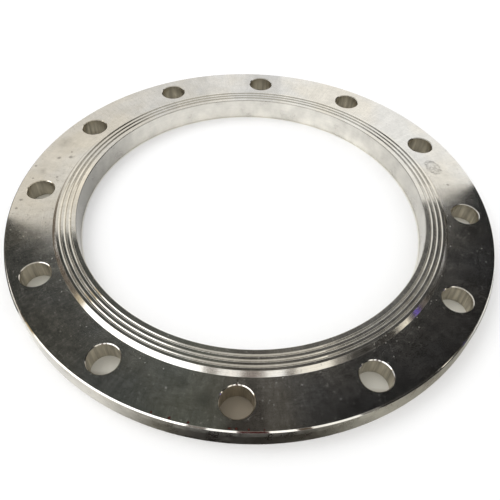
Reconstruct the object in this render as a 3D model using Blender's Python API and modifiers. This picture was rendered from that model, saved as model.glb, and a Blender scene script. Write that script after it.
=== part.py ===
"""A flat plate flange with a raised, grooved sealing face: one turned ring with twelve bolt holes.

Metres, +Z up. The ring lies on its back face at Z = 0, its axis is Z, and one bolt hole is on +X.
"""

import math

import bmesh
import bpy

MM = 0.001

# Plate: the turned disc that the bolts clamp, without its raised face
PLATE_THICKNESS = 16 * MM
RIM_CHAMFER = 1.0 * MM
BACK_CHAMFER = 0.5 * MM

# Bore: the pipe passes through it and is welded to it
BORE_DIAMETER = 280 * MM
BORE_CHAMFER = 0.5 * MM

# Raised face: a low plateau round the bore that presses on the gasket, with a sloping shoulder outside it
FACE_HEIGHT = 3 * MM
FACE_WIDTH = 15.5 * MM
SHOULDER_WIDTH = 3 * MM

# Gasket grooves: concentric and round-bottomed, set out from the shoulder inwards with lands of this width
# between them, as many as leave at least one such land at the bore
GROOVE_WIDTH = 1.8 * MM
GROOVE_DEPTH = 0.7 * MM
LAND_WIDTH = 2.1 * MM

# Bolt holes: drilled through the plate and broken at both edges. Their line lies this far out from the
# shoulder's foot, and this far in from the rim.
BOLT_COUNT = 12
BOLT_HOLE_DIAMETER = 22 * MM
BOLT_HOLE_CHAMFER = 0.6 * MM
BOLT_LINE_OFFSET = 16.5 * MM
BOLT_EDGE_DISTANCE = 20 * MM

# Radii that follow from these, from the bore outwards
BORE_RADIUS = BORE_DIAMETER / 2
FACE_RADIUS = BORE_RADIUS + FACE_WIDTH
SHOULDER_FOOT_RADIUS = FACE_RADIUS + SHOULDER_WIDTH
BOLT_CIRCLE_RADIUS = SHOULDER_FOOT_RADIUS + BOLT_LINE_OFFSET
RIM_RADIUS = BOLT_CIRCLE_RADIUS + BOLT_EDGE_DISTANCE
TOP = PLATE_THICKNESS + FACE_HEIGHT

# How finely round shapes are divided
RING_STEPS = 120
HOLE_STEPS = 32
GROOVE_STEPS = 4
SHARP_ANGLE = math.radians(25)

# Merge distance along a turned shape's seam and axis
SEAM_MERGE = 0.001 * MM

# Finish: bare stainless steel, as it comes off the lathe
STEEL_COLOUR = (0.60, 0.58, 0.55, 1.0)
STEEL_ROUGHNESS = 0.28


def clear_scene():
    """Removes the objects that a new file opens with."""
    for obj in list(bpy.data.objects):
        bpy.data.objects.remove(obj, do_unlink=True)


def new_collection(name):
    """A collection of this name in the scene."""
    collection = bpy.data.collections.new(name)
    bpy.context.scene.collection.children.link(collection)
    return collection


def turned_object(name, outline, steps, closed, collection):
    """Turns an outline of (radius, height) points round the Z axis.

    The outline runs down its outer side, so that the faces point out. A closed outline makes a ring, and
    an open one starts and ends on the axis.
    """
    profile = bmesh.new()
    points = [profile.verts.new((radius, 0, height)) for radius, height in outline]
    for start, end in zip(points, points[1:]):
        profile.edges.new((start, end))
    if closed:
        profile.edges.new((points[-1], points[0]))
    mesh = bpy.data.meshes.new(name)
    profile.to_mesh(mesh)
    profile.free()

    obj = bpy.data.objects.new(name, mesh)
    collection.objects.link(obj)
    screw = obj.modifiers.new("Turning", "SCREW")
    screw.axis = "Z"
    screw.angle = math.tau
    screw.steps = steps
    screw.render_steps = steps
    screw.use_merge_vertices = True
    screw.merge_threshold = SEAM_MERGE
    return obj


def groove_radii():
    """The middle radius of each groove, from the innermost out. The outermost lies a land in from the edge."""
    pitch = GROOVE_WIDTH + LAND_WIDTH
    flat_width = FACE_RADIUS - BORE_RADIUS - BORE_CHAMFER
    count = max(0, math.floor((flat_width - LAND_WIDTH) / pitch))
    outermost = FACE_RADIUS - LAND_WIDTH - GROOVE_WIDTH / 2
    return [outermost - index * pitch for index in reversed(range(count))]


def groove_outline(centre):
    """The groove at this radius, from its inner edge to its outer edge, as half an ellipse."""
    turns = [math.pi * (step / GROOVE_STEPS - 0.5) for step in range(GROOVE_STEPS + 1)]
    half_width = GROOVE_WIDTH / 2
    return [(centre + half_width * math.sin(turn), TOP - GROOVE_DEPTH * math.cos(turn)) for turn in turns]


def ring_outline():
    """The ring's cross-section, from the top of the rim down its outer side, back up the bore and out."""
    outline = [
        (RIM_RADIUS - RIM_CHAMFER, PLATE_THICKNESS),
        (RIM_RADIUS, PLATE_THICKNESS - RIM_CHAMFER),
        (RIM_RADIUS, BACK_CHAMFER),
        (RIM_RADIUS - BACK_CHAMFER, 0),
        (BORE_RADIUS + BACK_CHAMFER, 0),
        (BORE_RADIUS, BACK_CHAMFER),
        (BORE_RADIUS, TOP - BORE_CHAMFER),
        (BORE_RADIUS + BORE_CHAMFER, TOP),
    ]
    for radius in groove_radii():
        outline += groove_outline(radius)
    outline += [(FACE_RADIUS, TOP), (SHOULDER_FOOT_RADIUS, PLATE_THICKNESS)]
    return outline


def drill_outline():
    """A drill with a 45 degree countersink for both ends of the hole, which runs on past both faces."""
    radius = BOLT_HOLE_DIAMETER / 2
    overrun = BOLT_HOLE_CHAMFER
    wide = radius + BOLT_HOLE_CHAMFER + overrun
    return [
        (0, PLATE_THICKNESS + overrun),
        (wide, PLATE_THICKNESS + overrun),
        (radius, PLATE_THICKNESS - BOLT_HOLE_CHAMFER),
        (radius, BOLT_HOLE_CHAMFER),
        (wide, -overrun),
        (0, -overrun),
    ]


def place_drills(collection):
    """One drill for each bolt hole, spaced evenly round the bolt circle from +X."""
    for index in range(BOLT_COUNT):
        drill = turned_object(f"bolt_hole_drill_{index + 1}", drill_outline(), HOLE_STEPS, False, collection)
        turn = math.tau * index / BOLT_COUNT
        drill.location = (BOLT_CIRCLE_RADIUS * math.cos(turn), BOLT_CIRCLE_RADIUS * math.sin(turn), 0)
        drill.rotation_euler.z = turn
        drill.hide_render = True
        drill.display_type = "WIRE"


def cut_holes(ring, drills):
    """Takes every drill of the collection out of the ring."""
    cut = ring.modifiers.new("Bolt holes", "BOOLEAN")
    cut.operation = "DIFFERENCE"
    cut.solver = "EXACT"
    cut.operand_type = "COLLECTION"
    cut.collection = drills


def keep_result(obj):
    """Makes the turned and drilled shape the object's own mesh, with smooth round faces and sharp edges."""
    bpy.context.view_layer.update()
    evaluated = obj.evaluated_get(bpy.context.evaluated_depsgraph_get())
    mesh = bpy.data.meshes.new_from_object(evaluated)
    obj.modifiers.clear()
    obj.data = mesh
    mesh.name = obj.name
    mesh.shade_smooth()
    mesh.set_sharp_from_angle(angle=SHARP_ANGLE)


def turned_steel():
    """Bare stainless steel, turned on a lathe."""
    material = bpy.data.materials.new("turned_stainless_steel")
    material.use_nodes = True
    shader = material.node_tree.nodes["Principled BSDF"]
    shader.inputs["Base Color"].default_value = STEEL_COLOUR
    shader.inputs["Metallic"].default_value = 1.0
    shader.inputs["Roughness"].default_value = STEEL_ROUGHNESS
    return material


def main():
    clear_scene()
    part = new_collection("flat_flange")
    drills = new_collection("cutters")
    ring = turned_object("flange_ring", ring_outline(), RING_STEPS, True, part)
    place_drills(drills)
    cut_holes(ring, drills)
    keep_result(ring)
    ring.data.materials.clear()
    ring.data.materials.append(turned_steel())


main()
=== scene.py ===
"""The looks of a flat plate flange: its turned and drilled stainless steel, and its studio."""

import math

import bmesh
import bpy
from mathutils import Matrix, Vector


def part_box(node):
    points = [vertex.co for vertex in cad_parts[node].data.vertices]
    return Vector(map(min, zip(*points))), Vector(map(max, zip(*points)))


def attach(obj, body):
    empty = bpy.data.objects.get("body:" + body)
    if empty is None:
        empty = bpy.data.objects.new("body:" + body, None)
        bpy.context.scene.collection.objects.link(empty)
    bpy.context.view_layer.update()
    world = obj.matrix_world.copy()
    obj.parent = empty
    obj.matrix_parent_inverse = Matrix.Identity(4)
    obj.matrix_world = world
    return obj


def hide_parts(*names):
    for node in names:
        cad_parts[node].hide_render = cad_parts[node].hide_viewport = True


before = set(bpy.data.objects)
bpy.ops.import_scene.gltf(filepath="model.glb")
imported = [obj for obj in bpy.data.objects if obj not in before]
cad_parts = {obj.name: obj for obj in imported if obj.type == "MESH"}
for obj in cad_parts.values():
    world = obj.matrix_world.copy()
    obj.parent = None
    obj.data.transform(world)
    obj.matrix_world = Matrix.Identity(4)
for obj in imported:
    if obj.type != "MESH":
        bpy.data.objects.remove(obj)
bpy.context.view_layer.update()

MM = 0.001
RING = "flange_ring"
ring_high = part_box(RING)[1]

# The turned ring, with its sizes as in the frame
RIM_RADIUS = ring_high.x
TOP = ring_high.z
FACE_HEIGHT = 3 * MM
FACE_WIDTH = 15.5 * MM
SHOULDER_WIDTH = 3 * MM
BOLT_LINE_OFFSET = 16.5 * MM
PLATE_TOP = TOP - FACE_HEIGHT
BORE_RADIUS = 140 * MM
FACE_RADIUS = BORE_RADIUS + FACE_WIDTH
SHOULDER_FOOT_RADIUS = FACE_RADIUS + SHOULDER_WIDTH
BOLT_CIRCLE_RADIUS = SHOULDER_FOOT_RADIUS + BOLT_LINE_OFFSET
BORE_CHAMFER = 0.5 * MM
BACK_CHAMFER = 0.5 * MM

# Gasket grooves, set out from the shoulder inwards
GROOVE_COUNT = 3
GROOVE_WIDTH = 1.8 * MM
GROOVE_DEPTH = 0.7 * MM
GROOVE_FLOOR_WIDTH = 0.3 * MM
GROOVE_FLOOR_ROUNDING = 0.22 * MM
GROOVE_EDGE_ROUNDING = 0.5 * MM
LAND_WIDTH = 2.1 * MM
OUTER_GROOVE_RADIUS = FACE_RADIUS - LAND_WIDTH - GROOVE_WIDTH / 2

# Bolt holes
BOLT_COUNT = 12
BOLT_HOLE_RADIUS = 11 * MM
BOLT_HOLE_CHAMFER = 0.6 * MM

# The top edge of the rim: worn back to this radius, down to this depth, below its chamfer
RIM_EDGE_RADIUS = RIM_RADIUS - 0.9 * MM
RIM_EDGE_DEPTH = 4 * MM
RIM_CHAMFER = 0.9 * MM

# The small rounding that the tool leaves on each turned edge
EDGE_ROUNDING = 0.12 * MM

# How finely the round shapes are divided, and how near two points are merged
RING_STEPS = 360
HOLE_STEPS = 96
CORNER_STEPS = 4
MERGE_DISTANCE = 0.0005 * MM

# What everything is turned round
AXIS = {"cent": (0, 0, 0), "axis": (0, 0, 1)}

# Telling surfaces apart: the angle of a crease, how upright a normal is on a level flat and on a
# face, how upright it may be on a wall, and how far a zone reaches past its size
SHARP_ANGLE = math.radians(28)
LEVEL_FLAT = 0.99999
FACE_LIMIT = 0.9
WALL_LIMIT = 0.5
ZONE_MARGIN = 0.02 * MM

# Marks on the faces: each one's angle in degrees, and its radius and size in millimetres
RUST_SPOTS = (
    (254.6, 191.8, 0.8), (258.1, 191.9, 0.9), (261.6, 192.0, 0.8), (269.0, 191.9, 1.0),
    (270.2, 191.9, 0.9), (272.4, 192.1, 0.7), (275.2, 192.3, 0.6), (214.4, 157.4, 0.8),
    (211.0, 157.0, 0.7),
)
DARK_SPOTS = (
    (166.6, 176.4, 2.3), (165.1, 167.3, 2.4), (163.0, 170.0, 1.4), (174.4, 167.0, 1.5),
    (184.1, 187.4, 2.0), (176.0, 186.0, 1.3), (171.3, 190.2, 1.5), (25.2, 193.2, 1.2),
    (11.6, 170.8, 1.4), (31.0, 150.2, 1.3), (187.0, 189.0, 1.6), (178.5, 176.0, 1.1),
)
LIGHT_SPOTS = (
    (277.3, 177.1, 0.6), (276.6, 174.3, 0.5), (278.0, 165.4, 0.4), (283.9, 166.1, 0.6),
    (207.9, 193.6, 0.6), (218.0, 193.3, 0.8), (224.5, 193.6, 0.7), (352.6, 174.4, 0.7),
    (355.8, 176.6, 0.6), (255.3, 174.7, 0.9), (258.8, 178.2, 0.4),
)
STAINS = (
    (159.8, 183.1, 9), (263.7, 176.3, 8), (354.1, 178.0, 5), (172.8, 182.0, 5), (258.0, 168.0, 6),
    (293.0, 186.0, 7),
)

# The oval smear: its place, its size, and how far out its dark rim lies as a share of that
SMEAR_ANGLE = 19.7
SMEAR_RADIUS = 168 * MM
SMEAR_HALF_WIDTH = 10 * MM
SMEAR_HALF_HEIGHT = 6.5 * MM
SMEAR_RIM = 0.8
SMEAR_BREAK_SIZE = 2.2 * MM

# How unevenly the marks are drawn: the size of the waves, and their reach
SPOT_WAVES = (1.5 * MM, 1.8 * MM)
STAIN_WAVES = (6 * MM, 9 * MM)
SMEAR_WAVES = (4 * MM, 5 * MM)

# Turning marks: on the faces real ones are 0.15 mm apart, and are drawn four times coarser to
# show at this distance. On the walls they are 0.3 mm apart, and are drawn twice as coarse.
FACE_MARK_SPACING = 0.6 * MM
WALL_MARK_SPACING = 0.6 * MM
FACE_MARK_DEPTH = 0.01 * MM

# Patterns round the axis, as cells to a radian and length along the radius: rays half a degree
# and 4 degrees wide, and arcs 8 mm long, where the dust lies along the turning marks
FINE_RAYS = (110.0, 20 * MM)
BROAD_RAYS = (16.0, 20 * MM)
DUST_ARCS = (20.0, 0.8 * MM)

# Other patterns on the steel, as the size or the spacing of their cells
WIDE_CLOUD_SIZE = 50 * MM
CLOUD_SIZE = 12 * MM
MOTTLING_SIZE = 3.5 * MM
FLECK_SIZE = 1.9 * MM
SPECK_SPACING = 4 * MM
BORE_SMUDGE_SIZE = 18 * MM
RIM_SMUDGE_SIZE = 9 * MM
SCORING_WIDTH = 3.2 * MM
SCORING_STRETCH = 0.06
SCRATCH_WIDTH = 0.45 * MM
SCRATCH_LENGTH = 15 * MM
SCRATCH_ANGLES = (34, -51)

# Where the faces change across their width: the flecks fade out, the warmer colour fades out,
# the film changes, and the extra film at the right sets in
FLECK_SPAN = (-135 * MM, -60 * MM)
WARM_SPAN = (-170 * MM, -60 * MM)
FILM_SPAN = (-150 * MM, 120 * MM)
RIGHT_FILM_SPAN = (-40 * MM, 80 * MM)

# Where the bore's wall changes, and the painted shade and light there: painted shade makes it
# dimmer at its left and its right, and painted light makes it lighter at its foot
BORE_WALL_PAINTED_SHADE = (
    ("X", -140 * MM, -105 * MM, 0.45, 1.0),
    ("X", 85 * MM, 130 * MM, 1.0, 0.84),
    ("Z", 0.0, TOP, 1.12, 0.94),
)

# Colours of the steel where it is handled and where it rusts
WARM_STEEL = "#DBD3C3"
RUST = "#4E2018"

# The floor. Under the flange its colour is a painted shade, and a deeper painted shade under its
# nearest hole.
FLOOR_HALF_SIZE = 4.0
FLOOR_COLOUR = "#EDEDED"
FLOOR_ROUGHNESS = 0.9
PAINTED_SHADE_FLOOR_COLOUR = "#EEECE2"
DEEP_PAINTED_SHADE_COLOUR = "#9F9585"
DEEP_PAINTED_SHADE_SPAN = (-158 * MM, -152 * MM)
BORE_FLOOR_PAINTED_SHADE_SPAN = (BORE_RADIUS - 1.5 * MM, BORE_RADIUS)
RIM_FLOOR_PAINTED_SHADE_SPAN = (RIM_RADIUS - 3 * MM, RIM_RADIUS - 1 * MM)

# How much white is added to the floor, for the camera and in the metal
FLOOR_TOP_UP = 0.16
FLOOR_TOP_UP_IN_METAL = 0.3

# The white surround, as light and in the metal, and the one soft lamp
AMBIENT = 0.88
SURROUND = 0.9
LAMP_PLACE = (-1.5, 0.7, 2.4)
LAMP_SIZE = 1.6
LAMP_POWER = 22

# The dark card overhead, whose far edge makes the line across the face. Its tones go from left to
# right, and it is lighter away from what the plate reflects, for the sides of the grooves to show.
CARD_HEIGHT = 1.4
CARD_HALF_WIDTH = 3.0
CARD_NEAR_EDGE = -2.5
CARD_FAR_EDGE = (
    (CARD_HALF_WIDTH, 2.9), (1.05, 1.66), (0.8, 1.5),
    (-0.85, 1.16), (-1.06, 1.235), (-CARD_HALF_WIDTH, 1.95),
)
CARD_TONE_SPAN = (-1.0, 1.0)
CARD_TONES = (
    (0.05, "#3C3E3D"), (0.25, "#474947"), (0.4, "#53564F"), (0.46, "#53544E"),
    (0.475, "#393632"), (0.527, "#373431"), (0.537, "#565450"), (0.57, "#504E4A"),
    (0.585, "#3A3937"), (0.72, "#1A1A1A"), (0.95, "#242424"),
)
CARD_LIGHT_TONES = ((0.0, "#C6C4BE"), (1.0, "#D0CEC8"))
CARD_ASIDE_SPAN = (1.15, 1.5)
CARD_NEAR_SPAN = (0.25, 0.0)
CARD_END_SPAN = (1.7, 1.95)
CARD_END_COLOUR = "#F4F2EC"

# Upright cards round the flange: colour, strength, azimuths, elevations and distance
CARD_DISTANCE = 2.2
FAR_WALL_DISTANCE = 2.5
CARD_STEPS = 12
UPRIGHT_CARDS = {
    "far_right_window": ("#FFFEFB", 1.16, (50, 88), (12, 60), CARD_DISTANCE),
    "far_window": ("#FFFFFF", 1.05, (93, 98), (12, 60), CARD_DISTANCE),
    "left_window": ("#FFFDF8", 1.25, (105, 119), (38, 50), CARD_DISTANCE),
    "left_dark_wall": ("#5A4C3C", 1.0, (130, 186), (-1, 14), CARD_DISTANCE),
    "yellow_wall": ("#C8B68E", 1.0, (186, 191), (2, 30), CARD_DISTANCE),
    "near_left_window": ("#FFFFFF", 2.6, (191, 252), (4, 36), CARD_DISTANCE),
    "window_frame": ("#8A847E", 1.0, (252, 259), (4, 40), CARD_DISTANCE),
    "near_window": ("#FFFFFF", 1.7, (259, 269.5), (4, 40), CARD_DISTANCE),
    "dark_red_panel": ("#4A2222", 1.0, (269.5, 280.5), (4, 40), CARD_DISTANCE),
    "near_window_middle": ("#FFFFFF", 1.7, (280.5, 290), (4, 40), CARD_DISTANCE),
    "window_post": ("#5A4A3C", 1.0, (290, 295), (4, 40), CARD_DISTANCE),
    "near_window_right": ("#FFFCF4", 1.4, (295, 312), (4, 40), CARD_DISTANCE),
    "window_edge": ("#8A8680", 1.0, (312, 319), (4, 40), CARD_DISTANCE),
    "dark_doorway": ("#2A2826", 1.0, (319, 344), (-1, 40), CARD_DISTANCE),
    "right_far_wall": ("#302E2C", 1.0, (343, 364), (-1, 30), FAR_WALL_DISTANCE),
    "right_window": ("#FFFAEC", 1.8, (344, 350.5), (8, 16), CARD_DISTANCE),
    "right_frame": ("#5A544C", 1.0, (350.5, 354), (-1, 30), CARD_DISTANCE),
    "violet_lamp": ("#8466F2", 1.4, (354.5, 356.5), (6, 13), CARD_DISTANCE),
    "right_curtain": ("#6A625A", 1.0, (357.5, 363), (-1, 24), CARD_DISTANCE),
    "right_dark_wall": ("#302E2C", 1.0, (363, 404), (-1, 30), CARD_DISTANCE),
}

# Strips on the floor round the rim, for its wall and its chamfer to show: a painted shade of the
# floor at the rim's foot, with lighter stretches, that shows in the metal alone
FOOT_GAP = 0.1 * MM
FOOT_HEIGHT = 0.3 * MM
FOOT_STEPS = 24
FOOT_AZIMUTHS = (225, 352)
FOOT_WIDTH = 60 * MM
FOOT_SHADE_TONES = (
    (0.0, "#FFFFFF"), (0.134, "#FCFAF6"), (0.236, "#6E6B62"), (0.29, "#262220"),
    (0.394, "#1A1612"), (0.472, "#3E3A33"), (0.575, "#B4B2A8"), (0.693, "#969288"),
    (0.827, "#B8B8B4"), (0.945, "#8C8C88"), (1.0, "#A0A09C"),
)
LEFT_FOOT_AZIMUTHS = (130, 214)
LEFT_FOOT_WIDTH = 120 * MM
LEFT_FOOT_SHADE_COLOUR = "#35322D"

# The camera of the photograph: its place, its turns in degrees, its lens and its small shift
CAMERA_PLACE = (7.5 * MM, -316.7 * MM, 322.4 * MM)
CAMERA_TURNS = (40.69, -1.62, 3.03)
CAMERA_SENSOR = 36
CAMERA_LENS = 38.39
CAMERA_SHIFT = (-0.0024, 0.0009)

# The sockets that a Mix node uses for colours, and the one where they come out
SHARE, FIRST, SECOND, MIXED = 0, 6, 7, 2

# The ring's zones, each cut in its own way, in the order of its material slots
PLATE_FACE, RAISED_FACE, BORE_WALL, RIM, HOLE_WALL, BACK_FACE = range(6)


def linear(hex_colour):
    """An sRGB hex colour as linear red, green, blue and full alpha."""
    parts = [int(hex_colour[place:place + 2], 16) / 255 for place in (1, 3, 5)]
    return tuple(((c + 0.055) / 1.055) ** 2.4 if c > 0.04045 else c / 12.92 for c in parts) + (1.0,)


def fill(tree, node, inputs):
    """Fills a node's inputs, in the order of its sockets or by their names or numbers.

    Each is a value, a socket, or another node, whose first output is linked.
    """
    for socket, value in inputs.items() if isinstance(inputs, dict) else enumerate(inputs):
        if isinstance(value, bpy.types.Node):
            value = value.outputs[0]
        if isinstance(value, bpy.types.NodeSocket):
            tree.links.new(value, node.inputs[socket])
        else:
            node.inputs[socket].default_value = value


def add(tree, kind, inputs=(), tones=(), **settings):
    """Adds a node with its settings, inputs and, on a colour ramp, (position, hex colour) tones."""
    node = tree.nodes.new("ShaderNode" + kind)
    for name, value in settings.items():
        setattr(node, name, value)
    for place, (position, tone) in enumerate(tones):
        stops = node.color_ramp.elements
        if place >= len(stops):
            stops.new(position)
        stops[place].position = position
        stops[place].color = linear(tone)
    fill(tree, node, inputs)
    return node


def layered(tree, layers, value=1.0):
    """A value built up in layers, each of which multiplies it.

    A layer is a pattern, the two levels of it that count, and what it multiplies by at each.
    """
    for layer in layers:
        amount = add(tree, "MapRange", layer)
        value = add(tree, "Math", (value, amount), operation="MULTIPLY")
    return value


def turned_corner(before, corner, after, radius):
    """The points of a small round that takes the place of a corner in a turned outline."""
    corner = Vector(corner)
    one = (Vector(before) - corner).normalized()
    other = (Vector(after) - corner).normalized()
    half_angle = one.angle(other) / 2
    middle = corner + (one + other).normalized() * radius / math.sin(half_angle)
    start = (corner + one * radius / math.tan(half_angle) - middle).normalized()
    end = (corner + other * radius / math.tan(half_angle) - middle).normalized()
    return [
        middle + start.slerp(end, step / CORNER_STEPS) * radius
        for step in range(CORNER_STEPS + 1)
    ]


def rounded(outline):
    """A closed outline of (point, rounding) pairs, with each corner rounded."""
    points = []
    for place, (corner, radius) in enumerate(outline):
        before = outline[place - 1][0]
        after = outline[(place + 1) % len(outline)][0]
        points += turned_corner(before, corner, after, radius)
    return points


def groove_points(middle_radius):
    """A groove with sloping sides and a narrow floor, from its inner edge to its outer edge."""
    edge = GROOVE_WIDTH / 2
    floor = GROOVE_FLOOR_WIDTH / 2
    return [
        ((middle_radius - edge, TOP), GROOVE_EDGE_ROUNDING),
        ((middle_radius - floor, TOP - GROOVE_DEPTH), GROOVE_FLOOR_ROUNDING),
        ((middle_radius + floor, TOP - GROOVE_DEPTH), GROOVE_FLOOR_ROUNDING),
        ((middle_radius + edge, TOP), GROOVE_EDGE_ROUNDING),
    ]


def ring_outline():
    """The ring's cross-section as rounded (radius, height) points, with its grooves."""
    rim_to_bore = (
        (RIM_EDGE_RADIUS - RIM_CHAMFER, PLATE_TOP),
        (RIM_EDGE_RADIUS, PLATE_TOP - RIM_CHAMFER),
        (RIM_RADIUS, PLATE_TOP - RIM_EDGE_DEPTH),
        (RIM_RADIUS, BACK_CHAMFER),
        (RIM_RADIUS - BACK_CHAMFER, 0),
        (BORE_RADIUS + BACK_CHAMFER, 0),
        (BORE_RADIUS, BACK_CHAMFER),
        (BORE_RADIUS, TOP - BORE_CHAMFER),
        (BORE_RADIUS + BORE_CHAMFER, TOP),
    )
    shoulder = ((FACE_RADIUS, TOP), (SHOULDER_FOOT_RADIUS, PLATE_TOP))
    outline = [(corner, EDGE_ROUNDING) for corner in rim_to_bore]
    for index in reversed(range(GROOVE_COUNT)):
        outline += groove_points(OUTER_GROOVE_RADIUS - (GROOVE_WIDTH + LAND_WIDTH) * index)
    outline += [(corner, EDGE_ROUNDING) for corner in shoulder]
    return rounded(outline)


def drill_outline():
    """A drill that leaves a rounded countersink at both ends, as (radius, height) points."""
    overrun = BOLT_HOLE_CHAMFER
    wide = BOLT_HOLE_RADIUS + BOLT_HOLE_CHAMFER + overrun
    above = (wide, PLATE_TOP + overrun)
    below = (wide, -overrun)
    top_corner = (BOLT_HOLE_RADIUS, PLATE_TOP - BOLT_HOLE_CHAMFER)
    bottom_corner = (BOLT_HOLE_RADIUS, BOLT_HOLE_CHAMFER)
    return [
        (0, PLATE_TOP + overrun),
        above,
        *turned_corner(above, top_corner, bottom_corner, EDGE_ROUNDING),
        *turned_corner(top_corner, bottom_corner, below, EDGE_ROUNDING),
        below,
        (0, -overrun),
    ]


def turn_outline(outline, steps, closed):
    """A bmesh turned round the Z axis from an outline."""
    shape = bmesh.new()
    points = [shape.verts.new((radius, 0, height)) for radius, height in outline]
    for start, end in zip(points, points[1:]):
        shape.edges.new((start, end))
    if closed:
        shape.edges.new((points[-1], points[0]))
    bmesh.ops.spin(
        shape,
        geom=shape.verts[:] + shape.edges[:],
        **AXIS,
        angle=math.tau,
        steps=steps,
        use_merge=True,
    )
    bmesh.ops.remove_doubles(shape, verts=shape.verts, dist=MERGE_DISTANCE)
    bmesh.ops.recalc_face_normals(shape, faces=shape.faces)
    return shape


def as_object(shape, name):
    """An object in the scene that holds this bmesh."""
    mesh = bpy.data.meshes.new(name)
    shape.to_mesh(mesh)
    shape.free()
    obj = bpy.data.objects.new(name, mesh)
    bpy.context.scene.collection.objects.link(obj)
    return obj


def drill_through(ring):
    """Drills the bolt holes through the ring, all in one cut."""
    drills = turn_outline(drill_outline(), HOLE_STEPS, False)
    bmesh.ops.translate(drills, verts=drills.verts, vec=(BOLT_CIRCLE_RADIUS, 0, 0))
    bmesh.ops.spin(
        drills,
        geom=drills.verts[:] + drills.edges[:] + drills.faces[:],
        **AXIS,
        angle=math.tau * (BOLT_COUNT - 1) / BOLT_COUNT,
        steps=BOLT_COUNT - 1,
        use_duplicate=True,
        use_merge=False,
    )
    cutter = as_object(drills, "drills")
    cut = ring.modifiers.new("Bolt holes", "BOOLEAN")
    cut.operation = "DIFFERENCE"
    cut.solver = "EXACT"
    cut.object = cutter
    evaluated = ring.evaluated_get(bpy.context.evaluated_depsgraph_get())
    mesh = bpy.data.meshes.new_from_object(evaluated)
    ring.modifiers.clear()
    ring.data = mesh
    bpy.data.objects.remove(cutter, do_unlink=True)


def shade_turned(mesh):
    """Smooth round surfaces, with the flats and the true corners kept crisp."""
    shape = bmesh.new()
    shape.from_mesh(mesh)
    for face in shape.faces:
        face.smooth = True
    for edge in shape.edges:
        if len(edge.link_faces) != 2:
            continue
        flats = [abs(face.normal.z) > LEVEL_FLAT for face in edge.link_faces]
        edge.smooth = edge.calc_face_angle(0) < SHARP_ANGLE and flats[0] == flats[1]
    shape.to_mesh(mesh)
    shape.free()


def zone_of(centre, normal):
    """Which zone of the ring a face with this centre and normal belongs to."""
    radius = math.hypot(centre.x, centre.y)
    turn = math.tau / BOLT_COUNT
    off_hole = (math.atan2(centre.y, centre.x) + turn / 2) % turn - turn / 2
    from_hole = math.hypot(
        radius * math.cos(off_hole) - BOLT_CIRCLE_RADIUS,
        radius * math.sin(off_hole),
    )
    upright = abs(normal.z) < WALL_LIMIT
    if from_hole < BOLT_HOLE_RADIUS + ZONE_MARGIN and upright:
        return HOLE_WALL
    if abs(normal.z) < FACE_LIMIT and radius < BORE_RADIUS + BORE_CHAMFER:
        return BORE_WALL
    if upright and radius > RIM_EDGE_RADIUS - ZONE_MARGIN:
        return RIM
    if centre.z < BACK_CHAMFER:
        return BACK_FACE
    return RAISED_FACE if radius < FACE_RADIUS else PLATE_FACE


def ring_place(tree):
    """A point's Object coordinates, its direction out from the axis and its distance from it."""
    place = add(tree, "TexCoord").outputs["Object"]
    flat = add(tree, "VectorMath", (place, (1, 1, 0)), operation="MULTIPLY")
    direction = add(tree, "VectorMath", (flat,), operation="NORMALIZE")
    radius = add(tree, "VectorMath", (flat,), operation="LENGTH").outputs["Value"]
    return place, direction, radius


def steel_shader(name):
    """A new metal material, with its node tree and its shader."""
    material = bpy.data.materials.new(name)
    material.use_nodes = True
    shader = material.node_tree.nodes["Principled BSDF"]
    shader.inputs["Metallic"].default_value = 1.0
    return material, material.node_tree, shader


def spots(tree, place, marks, core):
    """A mask, 1 inside these marks and 0 away from them.

    The core is the solid share of each mark's size.
    """
    mask = 0.0
    for angle, distance, size in marks:
        turn = math.radians(angle)
        radius, reach = distance * MM, size * MM
        middle = (radius * math.cos(turn), radius * math.sin(turn), PLATE_TOP)
        away = add(tree, "VectorMath", (place, middle), operation="DISTANCE").outputs["Value"]
        spot = add(tree, "MapRange", (away, reach * core, reach, 1.0, 0.0))
        mask = add(tree, "Math", (mask, spot), operation="MAXIMUM")
    return mask


def warped(tree, place, size, reach):
    """The place, pushed about by up to half this reach in waves of this size, for uneven marks."""
    waves = add(tree, "TexNoise", {"Vector": place, "Scale": 1 / size, "Detail": 2.0})
    middle = (0.5, 0.5, 0.5)
    centred = add(tree, "VectorMath", (waves.outputs["Color"], middle), operation="SUBTRACT")
    push = add(tree, "VectorMath", {"Vector": centred, "Scale": reach}, operation="SCALE")
    return add(tree, "VectorMath", (place, push), operation="ADD")


def stains(tree, place, mottling):
    """A mask for the stains, broken up by the mottling."""
    blots = spots(tree, warped(tree, place, *STAIN_WAVES), STAINS, core=0.2)
    gaps = add(tree, "MapRange", (mottling, 0.35, 0.6, 0.35, 1.0))
    return add(tree, "Math", (blots, gaps), operation="MULTIPLY")


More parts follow.
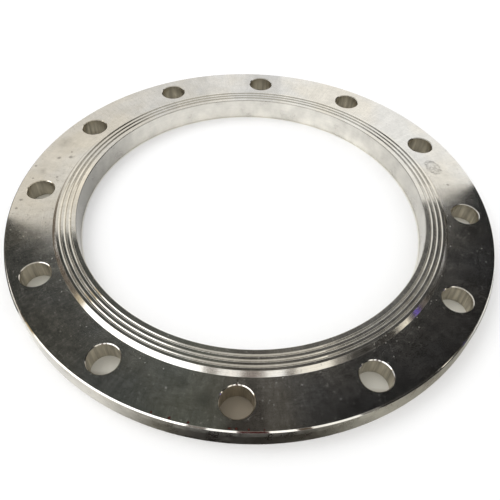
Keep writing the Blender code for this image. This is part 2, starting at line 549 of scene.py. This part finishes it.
def smear(tree, place):
    """A mask for the oval smear: darkest round its rim and broken up inside, as a drop dries."""
    turn = math.radians(SMEAR_ANGLE)
    middle = (SMEAR_RADIUS * math.cos(turn), SMEAR_RADIUS * math.sin(turn), 0.0)
    uneven_place = warped(tree, place, *SMEAR_WAVES)
    offset = add(tree, "VectorMath", (uneven_place, middle), operation="SUBTRACT")
    level = add(tree, "VectorRotate", {"Vector": offset, "Angle": -turn}, rotation_type="Z_AXIS")
    shares = (1 / SMEAR_HALF_HEIGHT, 1 / SMEAR_HALF_WIDTH, 0.0)
    scaled = add(tree, "VectorMath", (level, shares), operation="MULTIPLY")
    share = add(tree, "VectorMath", (scaled,), operation="LENGTH").outputs["Value"]
    past_rim = add(tree, "Math", (share, SMEAR_RIM), operation="SUBTRACT")
    off_rim = add(tree, "Math", (past_rim,), operation="ABSOLUTE")
    rim = add(tree, "MapRange", (off_rim, 0.05, 0.3, 1.0, 0.0))
    inside = add(tree, "MapRange", (share, SMEAR_RIM, 1.05, 0.6, 0.0))
    shape = add(tree, "Math", (rim, inside), operation="MAXIMUM")
    breaks = add(tree, "TexNoise", {"Vector": place, "Scale": 1 / SMEAR_BREAK_SIZE, "Detail": 3.0})
    gaps = add(tree, "MapRange", (breaks, 0.4, 0.58, 0.2, 1.0))
    return add(tree, "Math", (shape, gaps), operation="MULTIPLY")


def scratches(tree, place, wide_clouds):
    """A mask of short hairline scratches that lie two ways, with more of them in some areas."""
    either = 0.0
    for angle in SCRATCH_ANGLES:
        turned = add(tree, "VectorRotate", {
            "Vector": place, "Angle": math.radians(angle),
        }, rotation_type="Z_AXIS")
        stretch = (SCRATCH_WIDTH / SCRATCH_LENGTH, 1.0, 1.0)
        drawn_out = add(tree, "VectorMath", (turned, stretch), operation="MULTIPLY")
        hairs = add(tree, "TexNoise", {
            "Vector": drawn_out, "Scale": 1 / SCRATCH_WIDTH, "Detail": 1.0,
        })
        lines = add(tree, "MapRange", (hairs, 0.7, 0.78, 0.0, 1.0))
        either = add(tree, "Math", (either, lines), operation="MAXIMUM")
    return layered(tree, ((wide_clouds, 0.42, 0.58, 0.0, 1.0),), either)


def flecks(tree, place, across, wide_clouds):
    """A mask of small dark flecks, which are fewer towards the right and in some areas."""
    grains = add(tree, "TexNoise", {"Vector": place, "Scale": 1 / FLECK_SIZE, "Detail": 1.0})
    return layered(tree, (
        (grains, 0.66, 0.72, 0.0, 1.0),
        (wide_clouds, 0.5, 0.6, 1.0, 0.0),
        (across, *FLECK_SPAN, 1.0, 0.15),
    ))


def specks(tree, place):
    """A mask of specks of dust, up to 1.4 mm across, in about one cell of four."""
    cells = add(tree, "TexVoronoi", {
        "Vector": place, "Scale": 1 / SPECK_SPACING,
    }, voronoi_dimensions="2D")
    chance = add(tree, "SeparateXYZ", (cells.outputs["Color"],)).outputs["X"]
    return layered(tree, (
        (cells.outputs["Distance"], 0.07, 0.18, 1.0, 0.0),
        (chance, 0.7, 1.0, 0.0, 1.0),
    ))


def round_axis(tree, direction, radius, cells, length):
    """Noise with this many cells to a radian round the axis, each this long along the radius."""
    turned = add(tree, "VectorMath", {"Vector": direction, "Scale": cells}, operation="SCALE")
    outwards = add(tree, "CombineXYZ", {
        "Z": add(tree, "Math", (radius, 1 / length), operation="MULTIPLY"),
    })
    spread = add(tree, "VectorMath", (turned, outwards), operation="ADD")
    return add(tree, "TexNoise", {
        "Vector": spread, "Scale": 1.0, "Detail": 3.0, "Roughness": 0.62,
    })


def turned_face(name, colour, roughness, film, right_film, patchiness):
    """A flat that was faced on a lathe. Its marks run round the axis, so light spreads across them.

    The roughness goes from one value at the bore to another at the rim. The film of dust and oil
    goes from one value at the left to another at the right, where an extra amount is added that
    fades out at a given radius. It is even where the patchiness is 0, and well mottled at 1. The
    eye sees fine rings, soft rays where the feed left the marks uneven, and clouds, specks and
    scratches, which are lighter than the steel where that shows the dark card.
    """
    material, tree, shader = steel_shader(name)
    place, direction, radius = ring_place(tree)
    across = add(tree, "SeparateXYZ", (place,)).outputs["X"]

    # Patterns that cover the face
    rings = add(tree, "TexNoise", {
        "W": radius, "Scale": 1 / FACE_MARK_SPACING, "Detail": 1.0,
    }, noise_dimensions="1D")
    fine_rays, broad_rays, arcs = (
        round_axis(tree, direction, radius, *cells) for cells in (FINE_RAYS, BROAD_RAYS, DUST_ARCS)
    )
    clouds = add(tree, "TexNoise", {
        "Vector": place, "Scale": 1 / CLOUD_SIZE, "Detail": 6.0, "Roughness": 0.62,
    })
    mottling = add(tree, "TexNoise", {
        "Vector": place, "Scale": 1 / MOTTLING_SIZE, "Detail": 4.0, "Roughness": 0.7,
    })
    wide_clouds = add(tree, "TexNoise", {
        "Vector": place, "Scale": 1 / WIDE_CLOUD_SIZE, "Detail": 3.0,
    })

    # Marks at places of their own, and marks strewn over the face
    uneven_place = warped(tree, place, *SPOT_WAVES)
    rust = spots(tree, uneven_place, RUST_SPOTS, core=0.6)
    dark = spots(tree, uneven_place, DARK_SPOTS, core=0.4)
    light = spots(tree, uneven_place, LIGHT_SPOTS, core=0.65)
    stained = stains(tree, place, mottling)
    smeared = smear(tree, place)
    scratched = scratches(tree, place, wide_clouds)
    flecked = flecks(tree, place, across, wide_clouds)
    dusty = specks(tree, place)

    # Colour: warmer at the left and where it is handled, and brown or grey at its marks
    shade = layered(tree, (
        (rings, 0.3, 0.7, 0.975, 1.02),
        (fine_rays, 0.3, 0.7, 0.96, 1.03),
        (broad_rays, 0.3, 0.7, 0.94, 1.04),
        (clouds, 0.3, 0.7, 0.94, 1.04),
        (mottling, 0.35, 0.65, 1.0 - 0.07 * patchiness, 1.0 + 0.04 * patchiness),
        (arcs, 0.35, 0.65, 1.0 - 0.06 * patchiness, 1.0 + 0.03 * patchiness),
        (dark, 0.0, 1.0, 1.0, 0.55),
        (stained, 0.0, 1.0, 1.0, 0.72),
        (flecked, 0.0, 1.0, 1.0, 0.84),
        (smeared, 0.0, 1.0, 1.0, 0.62),
        (scratched, 0.0, 1.0, 1.0, 0.93),
    ))
    handled = add(tree, "MapRange", (wide_clouds, 0.4, 0.6, 0.0, 0.45))
    at_left = add(tree, "MapRange", (across, *WARM_SPAN, 0.6, 0.0))
    warmth = add(tree, "Math", (handled, at_left), operation="ADD", use_clamp=True)
    tint = add(tree, "Mix", {
        SHARE: warmth, FIRST: linear(colour), SECOND: linear(WARM_STEEL),
    }, data_type="RGBA").outputs[MIXED]
    steel = add(tree, "VectorMath", {"Vector": tint, "Scale": shade}, operation="SCALE")
    rusty = add(tree, "MapRange", (rust, 0.0, 0.4, 0.0, 1.0))
    rusted = add(tree, "Mix", {
        SHARE: rusty, FIRST: steel, SECOND: linear(RUST),
    }, data_type="RGBA").outputs[MIXED]

    # Film: scatters a little light, so the steel is less than fully metallic
    right_amount, right_end = right_film
    everywhere = add(tree, "MapRange", (across, *FILM_SPAN, *film))
    at_right = layered(tree, (
        (across, *RIGHT_FILM_SPAN, 0.2, 1.0),
        (radius, BORE_RADIUS, right_end, right_amount, 0.0),
    ))
    haze = layered(tree, (
        (fine_rays, 0.35, 0.68, 1.0 - 0.5 * patchiness, 1.0 + 0.6 * patchiness),
        (arcs, 0.35, 0.65, 1.0 - 0.5 * patchiness, 1.0 + 0.6 * patchiness),
        (mottling, 0.38, 0.62, 1.0 - 0.75 * patchiness, 1.0 + 0.9 * patchiness),
        (clouds, 0.36, 0.62, 1.0 - 0.5 * patchiness, 1.0 + 0.5 * patchiness),
        (stained, 0.0, 1.0, 1.0, 0.2),
    ), add(tree, "Math", (everywhere, at_right), operation="ADD"))
    rust_core = add(tree, "MapRange", (rust, 0.3, 1.0, 0.0, 1.0))
    for mask, amount in (
        (scratched, 0.06), (dusty, 0.1), (light, 0.22), (smeared, 0.08), (rust_core, 0.6),
    ):
        haze = add(tree, "Math", (mask, amount, haze), operation="MULTIPLY_ADD")
    metal = add(tree, "Math", (1.0, haze), operation="SUBTRACT", use_clamp=True)

    # Roughness: uneven in the same clouds, and duller at each mark
    uneven = layered(tree, (
        (radius, BORE_RADIUS, RIM_RADIUS, *roughness),
        (clouds, 0.35, 0.7, 0.92, 1.15),
    ))
    for mask, amount in (
        (dusty, 0.15), (scratched, 0.08), (flecked, 0.1), (smeared, 0.1), (rust, 0.2),
    ):
        uneven = add(tree, "Math", (mask, amount, uneven), operation="MULTIPLY_ADD")

    bump = add(tree, "Bump", {"Height": rings, "Strength": 0.1, "Distance": FACE_MARK_DEPTH})
    fill(tree, shader, {
        "Base Color": rusted, "Metallic": metal, "Roughness": uneven, "Normal": bump,
        "Anisotropic": 0.5, "Tangent": direction,
    })
    return material


def turned_wall(name, colour, smudging, shading, roughness, anisotropy, spans=()):
    """A wall that was turned on a lathe. Its marks run round it, and handling left it smudged.

    The smudges have a size, a detail and an unevenness. The shading and the roughness say which
    two levels of them count, and what they give at each. The spans are painted shade and light,
    across or up the wall. The eye sees fine rings under soft blotches, and light that spreads up
    and down the wall.
    """
    material, tree, shader = steel_shader(name)
    place = add(tree, "TexCoord").outputs["Object"]
    along = add(tree, "SeparateXYZ", (place,)).outputs
    rings = add(tree, "TexNoise", {
        "W": along["Z"], "Scale": 1 / WALL_MARK_SPACING, "Detail": 1.0,
    }, noise_dimensions="1D")
    size, detail, unevenness = smudging
    smudges = add(tree, "TexNoise", {
        "Vector": place, "Scale": 1 / size, "Detail": detail, "Roughness": unevenness,
    })
    shade = layered(tree, (
        (rings, 0.3, 0.7, 0.94, 1.04),
        (smudges, *shading),
        # Painted shade and light across and up the wall, from the spans
        *((along[axis], *span) for axis, *span in spans),
    ))
    steel = add(tree, "VectorMath", {
        "Vector": linear(colour)[:3], "Scale": shade,
    }, operation="SCALE")
    fill(tree, shader, {
        "Base Color": steel,
        "Roughness": add(tree, "MapRange", (smudges, *roughness)),
        "Anisotropic": anisotropy,
        "Tangent": add(tree, "CombineXYZ", {"Z": 1.0}),
    })
    return material


def drilled_wall(name, colour):
    """The wall of a drilled hole. The eye sees streaks along it, and a brownish tone.

    It was scored lengthways as the chips were pulled out, in streaks about 3 mm wide.
    """
    material, tree, shader = steel_shader(name)
    place = add(tree, "TexCoord").outputs["Object"]
    along_hole = add(tree, "VectorMath", (place, (1, 1, SCORING_STRETCH)), operation="MULTIPLY")
    scoring = add(tree, "TexNoise", {
        "Vector": along_hole, "Scale": 1 / SCORING_WIDTH, "Detail": 4.0, "Roughness": 0.7,
    })
    shade = add(tree, "MapRange", (scoring, 0.34, 0.66, 0.64, 1.2))
    steel = add(tree, "VectorMath", {
        "Vector": linear(colour)[:3], "Scale": shade,
    }, operation="SCALE")
    fill(tree, shader, {
        "Base Color": steel,
        "Roughness": add(tree, "MapRange", (scoring, 0.3, 0.7, 0.45, 0.26)),
    })
    return material


def steel_finishes():
    """The finish of each zone of the ring, in the order of its material slots."""
    return (
        turned_face(
            "turned_plate_face", "#DAD9D6", roughness=(0.2, 0.07),
            film=(0.02, 0.004), right_film=(0.022, RIM_RADIUS), patchiness=0.6,
        ),
        turned_face(
            "turned_raised_face", "#DEDCD6", roughness=(0.09, 0.09),
            film=(0.008, 0.04), right_film=(0.1, SHOULDER_FOOT_RADIUS), patchiness=0.2,
        ),
        turned_wall(
            "turned_bore_wall", "#DAD7CF", smudging=(BORE_SMUDGE_SIZE, 6.0, 0.58),
            shading=(0.34, 0.66, 0.78, 1.08), roughness=(0.35, 0.7, 0.26, 0.44),
            anisotropy=0.5, spans=BORE_WALL_PAINTED_SHADE,
        ),
        turned_wall(
            "turned_rim", "#D2CFC7", smudging=(RIM_SMUDGE_SIZE, 5.0, 0.62),
            shading=(0.35, 0.65, 0.86, 1.06), roughness=(0.35, 0.7, 0.24, 0.39),
            anisotropy=0.4,
        ),
        drilled_wall("drilled_hole", "#C6C0B3"),
        turned_face(
            "turned_back_face", "#DAD9D4", roughness=(0.25, 0.25),
            film=(0.01, 0.01), right_film=(0.0, RIM_RADIUS), patchiness=1.0,
        ),
    )


def make_ring():
    """The flange, as one drilled ring in the place of the frame's own."""
    ring = as_object(turn_outline(ring_outline(), RING_STEPS, True), "turned_flange")
    drill_through(ring)
    shade_turned(ring.data)
    ring.data.materials.clear()
    for material in steel_finishes():
        ring.data.materials.append(material)
    for face in ring.data.polygons:
        face.material_index = zone_of(face.center, face.normal)
    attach(ring, "root")
    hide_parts(RING)


def make_floor():
    """A plain white floor, topped up to full white. Under the flange its colour is a painted shade.
    """
    shape = bmesh.new()
    bmesh.ops.create_grid(shape, x_segments=1, y_segments=1, size=FLOOR_HALF_SIZE)
    floor = as_object(shape, "floor")
    material = bpy.data.materials.new("white_floor")
    material.use_nodes = True
    tree = material.node_tree
    place = add(tree, "TexCoord").outputs["Object"]
    radius = add(tree, "VectorMath", (place,), operation="LENGTH").outputs["Value"]
    # Painted shade: the floor's colour is darker under the flange, and darker again under its
    # nearest hole
    under = layered(tree, (
        (radius, *BORE_FLOOR_PAINTED_SHADE_SPAN, 0.0, 1.0),
        (radius, *RIM_FLOOR_PAINTED_SHADE_SPAN, 1.0, 0.0),
    ))
    depth = add(tree, "SeparateXYZ", (place,)).outputs["Y"]
    deep_painted_shade = add(tree, "MapRange", (depth, *DEEP_PAINTED_SHADE_SPAN, 1.0, 0.0))
    painted_shade_colour = add(tree, "Mix", {
        SHARE: deep_painted_shade, FIRST: linear(PAINTED_SHADE_FLOOR_COLOUR), SECOND: linear(DEEP_PAINTED_SHADE_COLOUR),
    }, data_type="RGBA").outputs[MIXED]
    colour = add(tree, "Mix", {
        SHARE: under, FIRST: linear(FLOOR_COLOUR), SECOND: painted_shade_colour,
    }, data_type="RGBA").outputs[MIXED]

    # The top-up to white is for the camera and the metal alone, and stops where the flange lies
    rays = add(tree, "LightPath").outputs
    seen = add(tree, "Math", (
        rays["Is Camera Ray"], rays["Is Transmission Ray"],
    ), operation="MAXIMUM")
    in_metal = add(tree, "Math", (
        rays["Is Glossy Ray"], FLOOR_TOP_UP_IN_METAL,
    ), operation="MULTIPLY")
    top_up = add(tree, "Math", (seen, FLOOR_TOP_UP, in_metal), operation="MULTIPLY_ADD")
    outside = add(tree, "Math", (1.0, under), operation="SUBTRACT")
    fill(tree, tree.nodes["Principled BSDF"], {
        "Base Color": colour,
        "Roughness": FLOOR_ROUGHNESS,
        "Emission Color": linear("#FFFFFF"),
        "Emission Strength": add(tree, "Math", (top_up, outside), operation="MULTIPLY"),
    })
    floor.data.materials.append(material)


def make_world():
    """A white surround: full white to the camera, a little less in the metal and as light."""
    world = bpy.data.worlds.new("white_surround")
    bpy.context.scene.world = world
    world.use_nodes = True
    tree = world.node_tree
    rays = add(tree, "LightPath").outputs
    seen = add(tree, "Math", (
        rays["Is Camera Ray"], rays["Is Transmission Ray"],
    ), operation="MAXIMUM")
    unseen = add(tree, "Mix", {
        "Factor": rays["Is Glossy Ray"], "A": AMBIENT, "B": SURROUND,
    }, data_type="FLOAT")
    fill(tree, tree.nodes["Background"], {
        "Color": linear("#FFFFFF"),
        "Strength": add(tree, "Mix", {"Factor": seen, "A": unseen, "B": 1.0}, data_type="FLOAT"),
    })


def as_card(shape, name, colour="#FFFFFF", strength=1.0):
    """A card that shows in the metal alone, with a light of its own. Returns its tree and light."""
    card = as_object(shape, name)
    material = bpy.data.materials.new(name)
    material.use_nodes = True
    tree = material.node_tree
    tree.nodes.remove(tree.nodes["Principled BSDF"])
    light = add(tree, "Emission", {"Color": linear(colour), "Strength": strength})
    fill(tree, tree.nodes["Material Output"], {"Surface": light})
    card.data.materials.append(material)
    card.visible_camera = False
    card.visible_diffuse = False
    card.visible_shadow = False
    return tree, light


def make_overhead_card():
    """A dark card over the flange, which its near half reflects."""
    shape = bmesh.new()
    near_edge = (-CARD_HALF_WIDTH, CARD_NEAR_EDGE), (CARD_HALF_WIDTH, CARD_NEAR_EDGE)
    corners = [shape.verts.new((x, y, CARD_HEIGHT)) for x, y in near_edge + CARD_FAR_EDGE]
    shape.faces.new(corners)
    tree, light = as_card(shape, "overhead_card")
    spot = add(tree, "SeparateXYZ", (add(tree, "TexCoord").outputs["Object"],)).outputs
    share = add(tree, "MapRange", (spot["X"], *CARD_TONE_SPAN, 0.0, 1.0))
    off_middle = add(tree, "Math", (spot["X"],), operation="ABSOLUTE")
    aside = add(tree, "MapRange", (off_middle, *CARD_ASIDE_SPAN, 0.0, 1.0))
    nearby = add(tree, "MapRange", (spot["Y"], *CARD_NEAR_SPAN, 0.0, 1.0))
    toned = add(tree, "Mix", {
        SHARE: add(tree, "Math", (aside, nearby), operation="MAXIMUM"),
        FIRST: add(tree, "ValToRGB", (share,), CARD_TONES),
        SECOND: add(tree, "ValToRGB", (share,), CARD_LIGHT_TONES),
    }, data_type="RGBA").outputs[MIXED]

    # Its ends are nearly white, for the sides of the grooves at the left and at the right
    ends = add(tree, "MapRange", (off_middle, *CARD_END_SPAN, 0.0, 1.0))
    brightened = add(tree, "Mix", {
        SHARE: ends, FIRST: toned, SECOND: linear(CARD_END_COLOUR),
    }, data_type="RGBA").outputs[MIXED]
    fill(tree, light, {"Color": brightened})


def swept(ends, azimuths, steps):
    """The line between two (radius, height) points, swept from azimuth to azimuth as a bmesh."""
    start, end = (math.radians(angle) for angle in azimuths)
    shape = bmesh.new()
    shape.edges.new([
        shape.verts.new((radius * math.cos(start), radius * math.sin(start), height))
        for radius, height in ends
    ])
    bmesh.ops.spin(
        shape,
        geom=shape.verts[:] + shape.edges[:],
        **AXIS,
        angle=end - start,
        steps=steps,
    )
    return shape


def make_upright_cards():
    """Cards that stand round the flange, each between two azimuths and two elevations."""
    for name, (colour, strength, azimuths, elevations, distance) in UPRIGHT_CARDS.items():
        ends = [(distance, distance * math.tan(math.radians(angle))) for angle in elevations]
        as_card(swept(ends, azimuths, CARD_STEPS), name, colour, strength)


def foot_strip(azimuths, width):
    """A strip of this width on the floor just outside the rim, from one azimuth to the other."""
    ends = [(radius, FOOT_HEIGHT) for radius in (RIM_RADIUS + FOOT_GAP, RIM_RADIUS + width)]
    return swept(ends, azimuths, FOOT_STEPS)


def make_foot_cards():
    """Low strips round the rim, painted shade seen in the metal alone, for its wall and its chamfer
    to show.
    """
    # Painted shade on the floor round the rim, seen in the metal alone
    left_strip = foot_strip(LEFT_FOOT_AZIMUTHS, LEFT_FOOT_WIDTH)
    as_card(left_strip, "left_foot_shade", LEFT_FOOT_SHADE_COLOUR)
    tree, light = as_card(foot_strip(FOOT_AZIMUTHS, FOOT_WIDTH), "foot_shade")
    spot = add(tree, "SeparateXYZ", (add(tree, "TexCoord").outputs["Object"],)).outputs
    turn = add(tree, "Math", (spot["Y"], spot["X"]), operation="ARCTAN2")
    start, end = (math.radians(angle) - math.tau for angle in FOOT_AZIMUTHS)
    share = add(tree, "MapRange", (turn, start, end, 0.0, 1.0))
    fill(tree, light, {"Color": add(tree, "ValToRGB", (share,), FOOT_SHADE_TONES)})


def make_lamp():
    """A square soft lamp, behind on the left. It lights the floor, and isn't seen in the metal."""
    data = bpy.data.lights.new("key_lamp", "AREA")
    data.size = LAMP_SIZE
    data.energy = LAMP_POWER
    lamp = bpy.data.objects.new("key_lamp", data)
    lamp.location = LAMP_PLACE
    lamp.rotation_euler = Vector(LAMP_PLACE).to_track_quat("Z", "Y").to_euler()
    lamp.visible_camera = False
    lamp.visible_glossy = False
    bpy.context.scene.collection.objects.link(lamp)


def make_camera():
    """The camera of the photograph, above the near side and turned down towards the bore."""
    data = bpy.data.cameras.new("camera")
    data.sensor_width = CAMERA_SENSOR
    data.lens = CAMERA_LENS
    data.shift_x, data.shift_y = CAMERA_SHIFT
    camera = bpy.data.objects.new("camera", data)
    camera.location = CAMERA_PLACE
    camera.rotation_euler = [math.radians(angle) for angle in CAMERA_TURNS]
    bpy.context.scene.collection.objects.link(camera)
    bpy.context.scene.camera = camera


make_ring()
make_floor()
make_world()
make_overhead_card()
make_upright_cards()
make_foot_cards()
make_lamp()
make_camera()
bpy.context.scene.view_settings.view_transform = "Standard"
